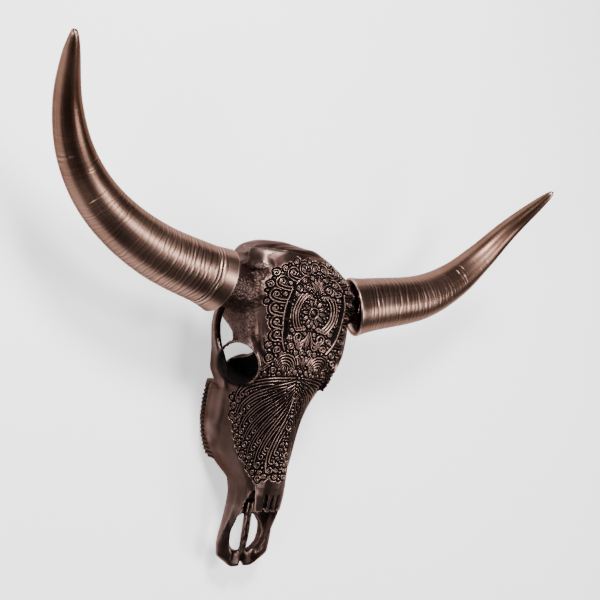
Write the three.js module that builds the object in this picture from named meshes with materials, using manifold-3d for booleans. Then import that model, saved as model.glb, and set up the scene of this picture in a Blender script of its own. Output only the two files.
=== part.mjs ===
// A steer's skull with long horns, carved over the forehead and nose and coated with copper, at life
// size in millimetres. It lies as it rests on a floor: on its last molars and on the two long
// processes beside the neck joint. X runs to the skull's left, Y from the nose to the poll, Z up.
import * as THREE from 'three';
import { mergeVertices } from 'three/addons/utils/BufferGeometryUtils.js';
import Module from 'manifold-3d';

const wasm = await Module();
wasm.setup();

// Driving sizes

const GAP = 0.3; // between two neighbouring pieces
const SIDES = [['right', -1], ['left', 1]];

// Places along the skull, from the nose (negative) to the poll
const NASAL_TIP = -175;
const APERTURE = -128; // back corner of the nasal opening, where the nasal bone leaves the maxilla
const TOOTH_FRONT = -108;
const TOOTH_BACK = 16;
const POLL = 226;

// Outer shape of the skull in sections across it: the heights of its top, underside and widest
// line, half its width there, and how square the section is above and below that line
const SKULL = [
  { y: -273, top: 51, low: 41, half: 20, wide: 46, above: 2.0, below: 2.0 },
  { y: -268, top: 54, low: 38, half: 36, wide: 46, above: 2.0, below: 2.0 },
  { y: -256, top: 58, low: 36, half: 47, wide: 46, above: 2.0, below: 2.0 },
  { y: -238, top: 62, low: 35, half: 50, wide: 46, above: 2.0, below: 2.0 },
  { y: -214, top: 74, low: 36, half: 47.5, wide: 49, above: 2.0, below: 2.2 },
  { y: -190, top: 96, low: 40, half: 45.5, wide: 55, above: 2.0, below: 2.4 },
  { y: -166, top: 114, low: 42, half: 43.5, wide: 57, above: 2.0, below: 2.4 },
  { y: -146, top: 114, low: 38, half: 42, wide: 56, above: 2.0, below: 2.4 },
  { y: APERTURE, top: 124, low: 28, half: 44, wide: 48, above: 1.8, below: 2.4 },
  { y: -118, top: 126, low: 18, half: 50, wide: 38, above: 1.7, below: 2.8 },
  { y: TOOTH_FRONT, top: 128, low: 14, half: 60, wide: 32, above: 1.6, below: 3.6 },
  { y: -90, top: 131, low: 12, half: 70, wide: 30, above: 1.5, below: 4.0 },
  { y: -60, top: 138, low: 12, half: 78, wide: 32, above: 1.42, below: 4.0 },
  { y: -30, top: 144, low: 12, half: 83, wide: 40, above: 1.45, below: 3.8 },
  { y: -6, top: 148, low: 12, half: 87, wide: 50, above: 1.6, below: 3.2 },
  { y: 14, top: 151.5, low: 18, half: 90, wide: 62, above: 1.85, below: 2.6 },
  { y: 36, top: 155, low: 50, half: 91, wide: 92, above: 2.2, below: 2.0 },
  { y: 58, top: 159.5, low: 62, half: 94, wide: 116, above: 2.7, below: 2.2 },
  { y: 80, top: 164, low: 66, half: 101, wide: 108, above: 2.8, below: 2.8 },
  { y: 104, top: 169, low: 68, half: 108, wide: 98, above: 2.6, below: 3.0 },
  { y: 128, top: 174, low: 68, half: 104, wide: 102, above: 2.6, below: 3.0 },
  { y: 146, top: 177, low: 72, half: 107, wide: 110, above: 2.7, below: 2.8 },
  { y: 162, top: 179, low: 72, half: 107, wide: 114, above: 2.6, below: 2.8 },
  { y: 178, top: 180, low: 72, half: 97, wide: 118, above: 2.6, below: 2.8 },
  { y: 192, top: 178, low: 74, half: 76, wide: 122, above: 2.5, below: 2.6 },
  { y: 205, top: 174, low: 80, half: 54, wide: 126, above: 2.3, below: 2.4 },
  { y: 217, top: 166, low: 92, half: 32, wide: 128, above: 2.2, below: 2.2 },
  { y: POLL, top: 152, low: 108, half: 16, wide: 130, above: 2.0, below: 2.0 },
];

// Bulge of the poll behind the forehead: its middle, its radii, and how far it leans back on the right
const POLL_BULGE = { middle: [-15, 190, 118], radii: [96, 39, 51], power: 2.5, lean: 0.15 };

// Hollow of the nose in front of the aperture, open above: its half width and its floor
const NOSE_TROUGH = [
  { y: -292, half: 40, low: 48 },
  { y: -252, half: 24, low: 48 },
  { y: -236, half: 32, low: 48 },
  { y: -214, half: 36, low: 50 },
  { y: -190, half: 37, low: 52 },
  { y: -166, half: 34, low: 52 },
  { y: -146, half: 28, low: 50 },
  { y: APERTURE + 1, half: 23, low: 46 },
];
const TROUGH_DEPTH = 14; // from its widest line down to its floor
const TROUGH_OPEN = 100; // and up, past the top of the nose

// Nasal bones: half the width of the pair, the height of their top, and how far their edges drop
const NASALS = [
  { y: NASAL_TIP, half: 23, top: 114, drop: 9 },
  { y: -150, half: 26, top: 120, drop: 12 },
  { y: APERTURE, half: 28, top: 126, drop: 19 },
  { y: -100, half: 24, top: 129, drop: 15 },
];
const NASAL_THICK = 6;
const NASAL_EDGE = 3.5; // thickness at the free edge
const NASAL_ARCH = 2.2; // power by which the top drops towards the edge
const NASAL_FORK = 20; // depth of the slots between the finger tips
const NASAL_SLOTS = [
  { x: 11.5, half: 3.2, deep: NASAL_FORK },
  { x: 0.5, half: 1.6, deep: 0.7 * NASAL_FORK },
];

// Outer face of the cheek teeth along the row
const TOOTH_LINE = [
  { y: TOOTH_FRONT, outer: 57 },
  { y: -96, outer: 65 },
  { y: -83, outer: 70 },
  { y: -46, outer: 76 },
  { y: -20, outer: 74.5 },
  { y: TOOTH_BACK, outer: 69 },
];
const TOOTH_WIDTH = 23;
const TOOTH_RIDGES = 18;
const TOOTH_RIDGE_DEPTH = 2.2;
const REST_BACK = -18; // the last molars lie on the floor behind this line
const TOOTH_RISE = 7; // height of the first premolar over the floor
const TOOTH_ROOT = 30; // height at which the row ends inside the jaw

// Horns: the middle line of the left one, its girth, and how the bony core sits in the sheath
const HORN_ROUTE = [
  [142, 159, 131], [247.5, 184, 136], [322.4, 222.9, 140.5],
  [373.9, 273, 155.5], [408.9, 331.4, 191.6], [434, 394, 259],
];
const HORN_BASE_RADIUS = 44.6;
const HORN_TAPER = 0.524;
const HORN_SLIM = 0.196;
const HORN_TIP_RADIUS = 1.6;
const SHEATH_WALL = 4;
const SHEATH_FLARE = 3; // how much wider the sheath is at its mouth
const SHEATH_CLEAR = 1.4; // room between the sheath and the core inside it
const CORE_NECK = { right: 39.5, left: 35 }; // radius where the core leaves the forehead
const CORE_END = 0.5; // share of the horn's line that the core reaches
const CORE_ROOT = 78; // inner end of the neck, inside the forehead
const SHEATH_START = { right: 0, left: -0.045 }; // where the sheath's mouth sits along that line
const MOUTH_SLANT = { right: 0, left: 0.07 }; // how much further in its upper lip reaches
const SLANT_LENGTH = 0.25; // share of the line over which the slant fades
const HOLLOW_START = -0.305; // the hollow is cut from beyond the mouth, in step with the core
const FLARE_LENGTH = 0.03; // share of the line over which the flare fades
const HOLLOW_TAPER = 3; // how fast the sheath's hollow narrows past its mouth
const CORE_WAIST = 35; // radius of both cores a quarter of the way out
const CORE_ROOT_TAPER = 14; // how much thinner the neck's inner end is

// Eye sockets: middle of the left rim, its two radii, the way it faces, and the size of its lip
const ORBIT = { x: 87.5, y: 45, z: 121, long: 34, tall: 32.5, depth: 44, lip: 3 };
const ORBIT_FACES = new THREE.Vector3(0.77, -0.37, 0.52).normalize();

// Cheek bone and arch: from the face in front of the eye, under it and back to the ear
const ARCH_ROUTE = [
  [76, 2, 72], [91.5, 28, 74], [99, 56, 75], [103, 84, 71], [101, 112, 66], [88, 138, 66], [64, 156, 70],
];
const ARCH_WIDE = 7;
const ARCH_TALL = 8;
const CHEEK_TALL = 17; // how much taller the arch is under the eye
const CHEEK_AT = 0.2; // where that is along the route, and how far it reaches
const CHEEK_REACH = 0.15;

// The bar of bone under the braincase, from the back of the palate to the neck joint
const BASE_ROUTE = [[0, 14, 60], [0, 56, 78], [0, 92, 76], [0, 128, 62], [0, 196, 54]];
const BASE_BAR = [20, 16];

// Rods along the floor of the nose, and the long processes beside the neck joint
const ROD_ROUTE = [[3.9, -258, 45], [3.9, -238, 48], [3.9, -215, 51], [4.1, -170, 55]];
const ROD = [3.1, 4];
const JUGULAR_ROUTE = [[58, 172, 78], [54, 176, 52], [50, 172, 24], [47, 167, 0]];
const JUGULAR = { wide: 9, long: 13, taper: 0.55 };

// Masses of bone that are added to the shell: middle, radii and how square each one is
const BRAIN = { middle: [0, 152, 104], radii: [60, 58, 60], power: 2.2 };
const CHEEK_TUBER = { middle: [38, 32, 54], radii: [32, 30, 36], power: 2.2 };
const EAR_ROOT = { middle: [56, 160, 78], radii: [26, 24, 26], power: 2.2 };
const BULLA = { middle: [40, 140, 52], radii: [14, 22, 16], power: 2 };
const CONDYLE = { middle: [26, 200, 46], radii: [17, 20, 22], power: 2 };

// Hollows that are taken out of it
const TEMPORAL_HOLLOW = { middle: [78, 82, 72], radii: [56, 34, 46], power: 2 };
const NASAL_TUNNEL = { middle: [0, APERTURE - 6, 80], radii: [22, 50, 30], power: 2.6 };
const NOSE_FLOOR = { middle: [0, -219, 46], radii: [32, 33, 44], power: 2.5 };
const FRONT_NOTCH = { middle: [1, -270, 50], radii: [3.2, 18, 40], power: 2 };
const PALATE_VAULT = { middle: [0, -52, 6], radii: [46, 66, 20], power: 2.4 };
const FORAMEN = { middle: [0, 214, 56], radii: [17, 40, 16], power: 2 };

// Regions of the skull, taken off it in this order: the low and high end of each along x (outward
// from the midline where there is one on each side), y and z
const FAR = 400; // beyond the skull on every side
const UNDER = -1; // just below the floor
const PAIRED_REGIONS = {
  horn_core: { x: [109, FAR], y: [100, FAR], z: [84, FAR] },
  jugular_process: { x: [34, 80], y: [140, 190], z: [UNDER, 34] },
  zygomatic_arch: { x: [74, FAR], y: [88, 170], z: [40, 90] },
  orbit: { x: [64, FAR], y: [4, 88 - GAP], z: [44, 158] },
  nasal: { x: [GAP / 2, 26], y: [-FAR, 34], z: [104, FAR] },
  premaxilla: { x: [GAP / 2, FAR], y: [-FAR, -168], z: [UNDER, FAR] },
  maxilla: { x: [GAP / 2, FAR], y: [-FAR, 34], z: [UNDER, FAR] },
};
const MIDDLE_REGIONS = {
  frontal: { x: [-FAR, FAR], y: [0, 214], z: [138, FAR] },
  occiput: { x: [-FAR, FAR], y: [184, FAR], z: [UNDER, FAR] },
};

// Helpers

// A closed body of a three.js geometry whose vertices are moved by place(v), its faces turned outward
function body(geometry, place) {
  geometry.deleteAttribute('normal');
  geometry.deleteAttribute('uv');
  const merged = mergeVertices(geometry, 1e-4);
  const position = merged.attributes.position;
  const v = new THREE.Vector3();
  for (let i = 0; i < position.count; i += 1) {
    v.fromBufferAttribute(position, i);
    place(v);
    position.setXYZ(i, v.x, v.y, v.z);
  }
  const triVerts = new Uint32Array(merged.index.array);
  const corner = [new THREE.Vector3(), new THREE.Vector3(), new THREE.Vector3()];
  let volume = 0;
  for (let i = 0; i < triVerts.length; i += 3) {
    corner.forEach((c, k) => c.fromBufferAttribute(position, triVerts[i + k]));
    volume += corner[0].dot(corner[1].cross(corner[2]));
  }
  if (volume < 0) triVerts.reverse();
  return new wasm.Manifold(new wasm.Mesh({ numProp: 3, vertProperties: position.array, triVerts }));
}

// A cylinder whose vertices are placed by their share t of its length, their angle round it and
// their rim, which is 0 in the middle of an end and 1 on the wall
function sleeve(sides, steps, place) {
  return body(new THREE.CylinderGeometry(1, 1, 1, sides, steps), (v) => {
    place(0.5 - v.y, Math.atan2(v.x, v.z), Math.hypot(v.x, v.z), v);
  });
}

// cos or sin raised to a superellipse's power, with its sign kept
function squared(value, power) {
  return Math.sign(value) * Math.abs(value) ** (2 / power);
}

// The sizes between the stations of a loft, on a smooth curve through each of them
function between(stations) {
  const keys = Object.keys(stations[0]);
  const curve = new THREE.CubicInterpolant(
    stations.map((station) => station.y),
    stations.flatMap((station) => keys.map((key) => station[key])),
    keys.length,
  );
  return (y) => {
    const values = curve.evaluate(y);
    return Object.fromEntries(keys.map((key, i) => [key, values[i]]));
  };
}

// A loft along Y of mirror-symmetric superellipse sections
function loft(stations, sides, steps) {
  const first = stations[0].y;
  const last = stations.at(-1).y;
  const sizes = between(stations);
  return sleeve(sides, steps, (t, angle, rim, v) => {
    const s = sizes(first + (last - first) * t);
    const up = Math.cos(angle);
    const power = up > 0 ? s.above : s.below;
    const height = up > 0 ? s.top - s.wide : s.wide - s.low;
    v.set(
      s.half * squared(Math.sin(angle), power) * rim,
      first + (last - first) * t,
      s.wide + height * squared(up, power) * rim,
    );
  });
}

// A ball stretched to three radii and squared off by its power, on the given side
function lump(side, { middle, radii, power, lean = 0 }, sides, rings) {
  return body(new THREE.SphereGeometry(1, sides, rings), (v) => {
    const flat = Math.hypot(v.x, v.z);
    const spread = flat > 0 ? squared(flat, power) / flat : 0;
    const x = middle[0] + radii[0] * v.x * spread;
    const y = middle[1] + radii[1] * v.z * spread - lean * x;
    v.set(side * x, y, middle[2] + radii[2] * squared(v.y, power));
  });
}

// A tube along a curve of the left half, mirrored for the right: its section is an oval with one
// radius across and one up, both read at the share t of the curve; a slant moves its start further back
// on the upper side than on the lower
function limb(side, curve, sides, steps, radii, from = 0, to = 1, slant = 0) {
  const up = new THREE.Vector3(0, 0, 1);
  const across = new THREE.Vector3();
  const above = new THREE.Vector3();
  return sleeve(sides, steps, (share, angle, rim, v) => {
    const t = from + (to - from) * share;
    const fade = Math.max(1 - (t - from) / SLANT_LENGTH, 0);
    const place = t - slant * fade * (0.5 + 0.5 * Math.cos(angle) * rim);
    const tangent = tangentAt(curve, place);
    across.crossVectors(tangent, up).normalize();
    above.crossVectors(across, tangent);
    const [wide, tall] = radii(t);
    v.copy(pointAt(curve, place))
      .addScaledVector(across, wide * Math.sin(angle) * rim)
      .addScaledVector(above, tall * Math.cos(angle) * rim);
    v.x *= side;
  });
}

// A curve's point, carried on in a straight line before its start
function pointAt(curve, t) {
  if (t >= 0) return curve.getPoint(Math.min(t, 1));
  return curve.getPoint(0).addScaledVector(tangentAt(curve, 0), t * curve.getLength());
}

function tangentAt(curve, t) {
  return curve.getTangent(Math.min(Math.max(t, 0), 1));
}

function curveThrough(points) {
  return new THREE.CatmullRomCurve3(points.map((p) => new THREE.Vector3(...p)), false, 'catmullrom', 0.5);
}

// A block between two corners
function block(low, high) {
  const size = high.map((value, i) => value - low[i]);
  return body(new THREE.BoxGeometry(1, 1, 1), (v) => {
    v.set(
      low[0] + (v.x + 0.5) * size[0],
      low[1] + (v.y + 0.5) * size[1],
      low[2] + (v.z + 0.5) * size[2],
    );
  });
}

// Horns

const hornCurve = curveThrough(HORN_ROUTE);

function hornRadius(t) {
  const share = Math.min(Math.max(t, 0), 1);
  return HORN_BASE_RADIUS * (1 - share) ** HORN_TAPER * (1 - HORN_SLIM * share) + HORN_TIP_RADIUS * share;
}

// The core is a blunt cone, which starts thicker on the right side than on the left
function coreRadius(name, t) {
  const inside = Math.max(t, 0) / CORE_END;
  const neck = CORE_NECK[name] + (CORE_WAIST - CORE_NECK[name]) * Math.min(inside * 2, 1);
  return neck * Math.sqrt(Math.max(1 - inside ** 3, 0.06)) * (1 - 0.25 * inside);
}

function hornSheath(name, side) {
  const start = SHEATH_START[name];
  const flare = (t) => SHEATH_FLARE * Math.exp(-((Math.max(t - start, 0) / FLARE_LENGTH) ** 2));
  const girth = (t) => hornRadius(t) + flare(t);
  const outer = limb(side, hornCurve, 16, 16, (t) => [girth(t), girth(t)], start, 1, MOUTH_SLANT[name]);
  const mouth = (t) => {
    const rim = (girth(t) - SHEATH_WALL) * (1 - HOLLOW_TAPER * Math.max(t - start, 0));
    return Math.max(coreRadius(name, t) + SHEATH_CLEAR, rim);
  };
  const hollow = limb(side, hornCurve, 12, 5, (t) => [mouth(t), mouth(t)], HOLLOW_START, CORE_END + 0.002);
  return outer.subtract(hollow);
}

function hornCore(name, side) {
  const start = (CORE_ROOT - HORN_ROUTE[0][0]) / hornCurve.getLength();
  const radius = (t) => coreRadius(name, t) - CORE_ROOT_TAPER * Math.max(0, t / start) ** 2;
  return limb(side, hornCurve, 12, 4, (t) => [radius(t), radius(t)], start, CORE_END);
}

// Cranium

function orbitAxes(side) {
  const facing = ORBIT_FACES.clone().setX(side * ORBIT_FACES.x);
  const back = new THREE.Vector3(0, 1, 0).projectOnPlane(facing).normalize();
  const up = new THREE.Vector3().crossVectors(facing, back);
  const centre = new THREE.Vector3(side * ORBIT.x, ORBIT.y, ORBIT.z);
  return { facing, back, up, centre };
}

// A unit shape set on the rim of the eye socket: x runs back, y along the rim's plane, z outward
function atOrbit(side, geometry, size) {
  const { facing, back, up, centre } = orbitAxes(side);
  return body(geometry, (v) => {
    const [long, tall, deep] = size(v);
    const { x, y, z } = v;
    v.copy(centre).addScaledVector(back, long * x).addScaledVector(up, tall * y);
    v.addScaledVector(facing, deep * z);
  });
}

function orbitLip(side) {
  const ring = new THREE.TorusGeometry(1, ORBIT.lip / ORBIT.long, 4, 15);
  return atOrbit(side, ring, () => [ORBIT.long, ORBIT.tall, ORBIT.long]);
}

function orbitSocket(side) {
  const ball = new THREE.SphereGeometry(1, 12, 6);
  const deep = (z) => (z < 0 ? ORBIT.depth : ORBIT.depth / 2);
  return atOrbit(side, ball, (v) => [ORBIT.long - 1, ORBIT.tall - 1, deep(v.z)]);
}

// The arch is tallest under the eye and a little wider at both ends
function arch(side) {
  const wide = (t) => ARCH_WIDE + 2 * (1 - t) ** 2 + 4 * t ** 6;
  const tall = (t) => ARCH_TALL + CHEEK_TALL * Math.exp(-(((t - CHEEK_AT) / CHEEK_REACH) ** 2));
  return limb(side, curveThrough(ARCH_ROUTE), 8, 10, (t) => [wide(t), tall(t)]);
}

// Nose

function noseTrough() {
  const sizes = between(NOSE_TROUGH);
  const first = NOSE_TROUGH[0].y;
  const last = NOSE_TROUGH.at(-1).y;
  return sleeve(12, 8, (t, angle, rim, v) => {
    const y = first + (last - first) * t;
    const s = sizes(y);
    const up = squared(Math.cos(angle), 4) * rim;
    const height = up > 0 ? TROUGH_OPEN : TROUGH_DEPTH;
    v.set(s.half * squared(Math.sin(angle), 4) * rim, y, s.low + TROUGH_DEPTH + height * up);
  });
}

// One nasal bone: an arched plate from the midline to its free edge, forked at the tip
function nasal(side) {
  const sizes = between(NASALS);
  const first = NASALS[0].y;
  const last = NASALS.at(-1).y;
  const plate = body(new THREE.BoxGeometry(1, 1, 1, 3, 6, 1), (v) => {
    const y = first + (last - first) * (v.y + 0.5);
    const s = sizes(y);
    const across = v.x + 0.5;
    const x = GAP / 2 + (s.half - GAP / 2) * across;
    const top = s.top - s.drop * across ** NASAL_ARCH;
    v.set(side * x, y, v.z > 0 ? top : top - NASAL_THICK + (NASAL_THICK - NASAL_EDGE) * across ** 2);
  });
  return NASAL_SLOTS.reduce((bone, { x, half, deep }) => {
    const wedge = new THREE.CylinderGeometry(half, 0.2, deep, 6, 1);
    const tip = first - 0.5 + deep / 2;
    const cutter = body(wedge, (v) => v.set(side * (x + v.x), tip - v.y, NASALS[0].top + v.z * 40));
    return bone.subtract(cutter);
  }, plate);
}

// Teeth: one row of six ridged cheek teeth, its first ones a little off the floor
function toothRow(side) {
  const sizes = between(TOOTH_LINE);
  const length = TOOTH_BACK - TOOTH_FRONT;
  return body(new THREE.BoxGeometry(1, 1, 1, 1, TOOTH_RIDGES * 2, 1), (v) => {
    const along = v.y + 0.5;
    const y = TOOTH_FRONT + length * along;
    const ridge = TOOTH_RIDGE_DEPTH * Math.cos(Math.PI * TOOTH_RIDGES * along) ** 2;
    const outer = sizes(y).outer + ridge;
    const floor = y > REST_BACK ? 0 : (TOOTH_RISE * (REST_BACK - y)) / (REST_BACK - TOOTH_FRONT);
    v.set(side * (outer - TOOTH_WIDTH * (0.5 - v.x)), y, v.z > 0 ? TOOTH_ROOT : floor);
  });
}

// Long process beside the neck joint, which ends in a small flat on the floor
function jugularProcess(side) {
  const route = curveThrough(JUGULAR_ROUTE);
  const root = JUGULAR_ROUTE[0][2];
  return sleeve(8, 5, (t, angle, rim, v) => {
    const middle = route.getPoint(t);
    const thin = 1 - JUGULAR.taper * t;
    v.set(
      side * (middle.x + JUGULAR.wide * thin * Math.sin(angle) * rim),
      middle.y + JUGULAR.long * thin * Math.cos(angle) * rim,
      root * (1 - t),
    );
  });
}

// The whole skull as one body
function skull() {
  let bone = loft(SKULL, 20, 25);
  for (const [, side] of SIDES) {
    bone = bone.subtract(orbitSocket(side)).subtract(lump(side, TEMPORAL_HOLLOW, 12, 6));
  }
  bone = bone.subtract(noseTrough()).subtract(lump(1, NASAL_TUNNEL, 10, 4));
  bone = bone.subtract(lump(1, NOSE_FLOOR, 14, 4)).subtract(lump(1, PALATE_VAULT, 10, 4));
  bone = bone.add(lump(1, BRAIN, 8, 4)).add(lump(1, POLL_BULGE, 15, 8));
  bone = bone.add(limb(1, curveThrough(BASE_ROUTE), 6, 5, () => BASE_BAR));
  for (const [name, side] of SIDES) {
    bone = bone.add(hornCore(name, side)).add(arch(side)).add(orbitLip(side));
    bone = bone.add(lump(side, CHEEK_TUBER, 8, 4)).add(lump(side, EAR_ROOT, 8, 5));
    bone = bone.add(lump(side, BULLA, 8, 4)).add(lump(side, CONDYLE, 8, 5));
    bone = bone.add(limb(side, curveThrough(ROD_ROUTE), 6, 3, () => ROD));
    bone = bone.add(toothRow(side)).add(nasal(side)).add(jugularProcess(side));
  }
  return bone.subtract(lump(1, FRONT_NOTCH, 8, 4)).subtract(lump(1, FORAMEN, 8, 4));
}

// Scene

const COPPER = { color: 0x5a4038, roughness: 0.35, metalness: 0.9 };
const HORN = { color: 0x6b4a3a, roughness: 0.28, metalness: 0.9 };
const group = new THREE.Group();

function addMesh(name, solid, finish) {
  const mesh = solid.getMesh();
  const geometry = new THREE.BufferGeometry();
  geometry.setAttribute('position', new THREE.BufferAttribute(mesh.vertProperties, 3));
  geometry.setIndex(new THREE.BufferAttribute(mesh.triVerts, 1));
  geometry.computeVertexNormals();
  const node = new THREE.Mesh(geometry, new THREE.MeshStandardMaterial(finish));
  node.name = name;
  group.add(node);
}

// The largest body of a solid, without the crumbs that a cut may leave
function largest(solid) {
  return solid.decompose().sort((a, b) => b.volume() - a.volume())[0];
}

// Takes a region off what is left of the skull and keeps it as a node
let rest = skull();
function takeOff(name, side, { x, y, z }) {
  const across = side > 0 ? x : [-x[1], -x[0]];
  const low = [across[0], y[0], z[0]];
  const high = [across[1], y[1], z[1]];
  addMesh(name, largest(rest.intersect(block(low, high))), COPPER);
  rest = rest.subtract(block(low.map((value) => value - GAP), high.map((value) => value + GAP)));
}

for (const [name, side] of SIDES) {
  for (const [region, ends] of Object.entries(PAIRED_REGIONS)) takeOff(`${region}_${name}`, side, ends);
}
for (const [region, ends] of Object.entries(MIDDLE_REGIONS)) takeOff(region, 1, ends);
addMesh('braincase', largest(rest), COPPER);
for (const [name, side] of SIDES) addMesh(`horn_sheath_${name}`, hornSheath(name, side), HORN);

// The origin is the middle of the model's box on the floor
const box = new THREE.Box3().setFromObject(group);
const middle = box.getCenter(new THREE.Vector3());
group.position.set(-middle.x, -middle.y, -box.min.z);

export default group;
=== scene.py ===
# %% [markdown]
# # A carved and copper-coated longhorn skull
# The real object is a steer's skull whose forehead and nose are carved into scrollwork, and whose
# bone and horn then got one dark copper coat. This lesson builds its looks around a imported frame,
# which fixes every size and place. Lengths are in metres unless a name or a comment says otherwise.

# %% Load the frame
import math
import bpy
import numpy as np
from mathutils import Matrix, Vector
from mathutils.kdtree import KDTree


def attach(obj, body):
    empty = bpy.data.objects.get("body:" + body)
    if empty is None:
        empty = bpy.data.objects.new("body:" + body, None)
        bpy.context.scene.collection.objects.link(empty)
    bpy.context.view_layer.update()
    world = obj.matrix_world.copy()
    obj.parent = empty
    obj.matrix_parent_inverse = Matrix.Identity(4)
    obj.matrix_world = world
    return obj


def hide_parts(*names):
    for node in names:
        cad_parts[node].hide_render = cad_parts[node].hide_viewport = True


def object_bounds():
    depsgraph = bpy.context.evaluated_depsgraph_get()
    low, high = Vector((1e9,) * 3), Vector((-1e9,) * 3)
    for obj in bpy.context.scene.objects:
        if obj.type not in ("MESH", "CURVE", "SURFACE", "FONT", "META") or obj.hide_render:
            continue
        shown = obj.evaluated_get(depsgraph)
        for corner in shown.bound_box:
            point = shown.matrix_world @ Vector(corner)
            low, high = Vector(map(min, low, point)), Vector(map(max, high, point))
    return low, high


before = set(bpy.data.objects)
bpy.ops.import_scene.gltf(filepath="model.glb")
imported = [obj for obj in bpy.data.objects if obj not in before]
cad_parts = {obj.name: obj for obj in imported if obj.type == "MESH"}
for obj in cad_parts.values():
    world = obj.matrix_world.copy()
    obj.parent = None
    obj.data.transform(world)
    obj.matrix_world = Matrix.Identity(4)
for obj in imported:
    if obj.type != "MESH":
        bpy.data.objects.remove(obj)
CAD_BOX = [[float(v) for v in corner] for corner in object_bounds()]
LOW, HIGH = np.array(CAD_BOX[0]), np.array(CAD_BOX[1])
print("frame holds", len(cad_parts), "nodes in a box of", np.round((HIGH - LOW) * 1000), "mm")

# %% [markdown]
# ## Where the photographer stood
# The skull lies on the floor and the camera looks down on it from high above its right side. Three
# angles say that better than a rotation matrix: a turn towards the skull's right, a small dip
# along its length and a roll of the camera. The lens follows from how large the skull is in view.

# %% Camera
TURN, DIP, ROLL = math.radians(36.39), math.radians(-4.62), math.radians(5.62)
DISTANCE = 1.302
AIM = Vector((0.05714, 0.09550, 0.05785))
FOCAL_PIXELS = 790.1
IMAGE_PIXELS = 600


def add_camera():
    towards = Vector((-math.sin(TURN) * math.cos(DIP), math.sin(DIP), math.cos(TURN) * math.cos(DIP)))
    right = Vector((0, 1, 0)).cross(towards).normalized()
    roll = Matrix.Rotation(ROLL, 3, towards)
    axes = Matrix((roll @ right, roll @ towards.cross(right), towards)).transposed()
    data = bpy.data.cameras.new("camera")
    data.sensor_width = 36
    data.lens = data.sensor_width * FOCAL_PIXELS / IMAGE_PIXELS
    camera = bpy.data.objects.new("camera", data)
    bpy.context.collection.objects.link(camera)
    camera.matrix_world = Matrix.Translation(AIM + DISTANCE * towards) @ axes.to_4x4()
    bpy.context.scene.camera = camera
    return camera


camera = add_camera()
print("camera stands at", [round(v, 3) for v in camera.matrix_world.translation])

# %% [markdown]
# ## Small helpers
# An operator works on everything that is selected, and the frame's nodes come in selected. So
# each step first deselects everything and then picks its own object. Moving many points at once
# is quicker in numpy, so a few helpers read a mesh's points as an array and write them back.

# %% Helpers


def pick(obj):
    bpy.ops.object.select_all(action="DESELECT")
    obj.select_set(True)
    bpy.context.view_layer.objects.active = obj
    return obj


def modify(obj, kind, **settings):
    """Adds one modifier, sets it up and applies it."""
    pick(obj)
    modifier = obj.modifiers.new(kind.lower(), kind)
    for key, value in settings.items():
        setattr(modifier, key, value)
    bpy.ops.object.modifier_apply(modifier=modifier.name)
    return obj


def read(source, key, width=3):
    """One number or vector for each element of a mesh, as an array."""
    values = np.zeros(len(source) * width, np.float32)
    source.foreach_get(key, values)
    return values.reshape(-1, width).astype(np.float64) if width > 1 else values.astype(np.float64)


def points(obj):
    return read(obj.data.vertices, "co")


def normals(obj):
    return read(obj.data.vertex_normals, "vector")


def move_points(obj, co):
    """Writes points back, kept inside the frame's box."""
    obj.data.vertices.foreach_set("co", np.clip(co, LOW, HIGH).astype(np.float32).ravel())
    obj.data.update()


def keep(obj, name, values):
    """Stores one number for each point, for a material to read."""
    attribute = obj.data.attributes.get(name) or obj.data.attributes.new(name, "FLOAT", "POINT")
    attribute.data.foreach_set("value", np.asarray(values, np.float32))


def kept(obj, name):
    return read(obj.data.attributes[name].data, "value", 1)


def average(obj, values, rounds):
    """Each point's value averaged with its neighbours', a number of times."""
    ends = np.zeros(len(obj.data.edges) * 2, np.int32)
    obj.data.edges.foreach_get("vertices", ends)
    a, b = ends[0::2], ends[1::2]
    count = len(values)
    share = np.bincount(a, minlength=count) + np.bincount(b, minlength=count) + 1.0
    for _ in range(rounds):
        total = np.bincount(a, values[b], count) + np.bincount(b, values[a], count) + values
        values = total / share
    return values


def smooth_step(low, high, value):
    t = np.clip((value - low) / (high - low), 0, 1)
    return t * t * (3 - 2 * t)


def weigh(obj, name, weights):
    """Stores weights as a vertex group, in ten even steps; a modifier reads it by its name."""
    group = obj.vertex_groups.new(name=name)
    steps = np.round(np.clip(weights, 0, 1) * 10).astype(int)
    for step in range(1, 11):
        group.add(np.flatnonzero(steps == step).tolist(), step / 10, "REPLACE")


print("the box's lowest corner is at", np.round(LOW * 1000, 1), "mm")

# %% [markdown]
# ## One skin of bone
# The frame's bone nodes are flat facets with thin cuts between them. On the real skull they grew
# together. Copies of them are swollen by a hair, so that they overlap across the cuts, joined and
# remeshed into one skin of even squares. The remesh is what makes the later smoothing and carving
# possible: every square is the same size, so a smoothing pass works alike all over.

# %% Join and remesh
SIDES = (("right", -1), ("left", 1))
PAIRED = ("horn_core", "jugular_process", "zygomatic_arch", "orbit", "nasal", "premaxilla", "maxilla")
BONES = [f"{name}_{side}" for side, _ in SIDES for name in PAIRED] + ["frontal", "occiput", "braincase"]
VOXEL = 0.0020
SWELL = 0.00022


def bone_copy(name):
    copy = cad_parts[name].copy()
    copy.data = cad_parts[name].data.copy()
    copy.parent = None
    for key in list(copy.keys()):
        del copy[key]
    bpy.context.collection.objects.link(copy)
    pick(copy)
    bpy.ops.object.mode_set(mode="EDIT")
    bpy.ops.mesh.select_all(action="SELECT")
    bpy.ops.mesh.remove_doubles(threshold=1e-6)
    bpy.ops.object.mode_set(mode="OBJECT")
    return modify(copy, "DISPLACE", strength=SWELL, mid_level=0)


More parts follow.
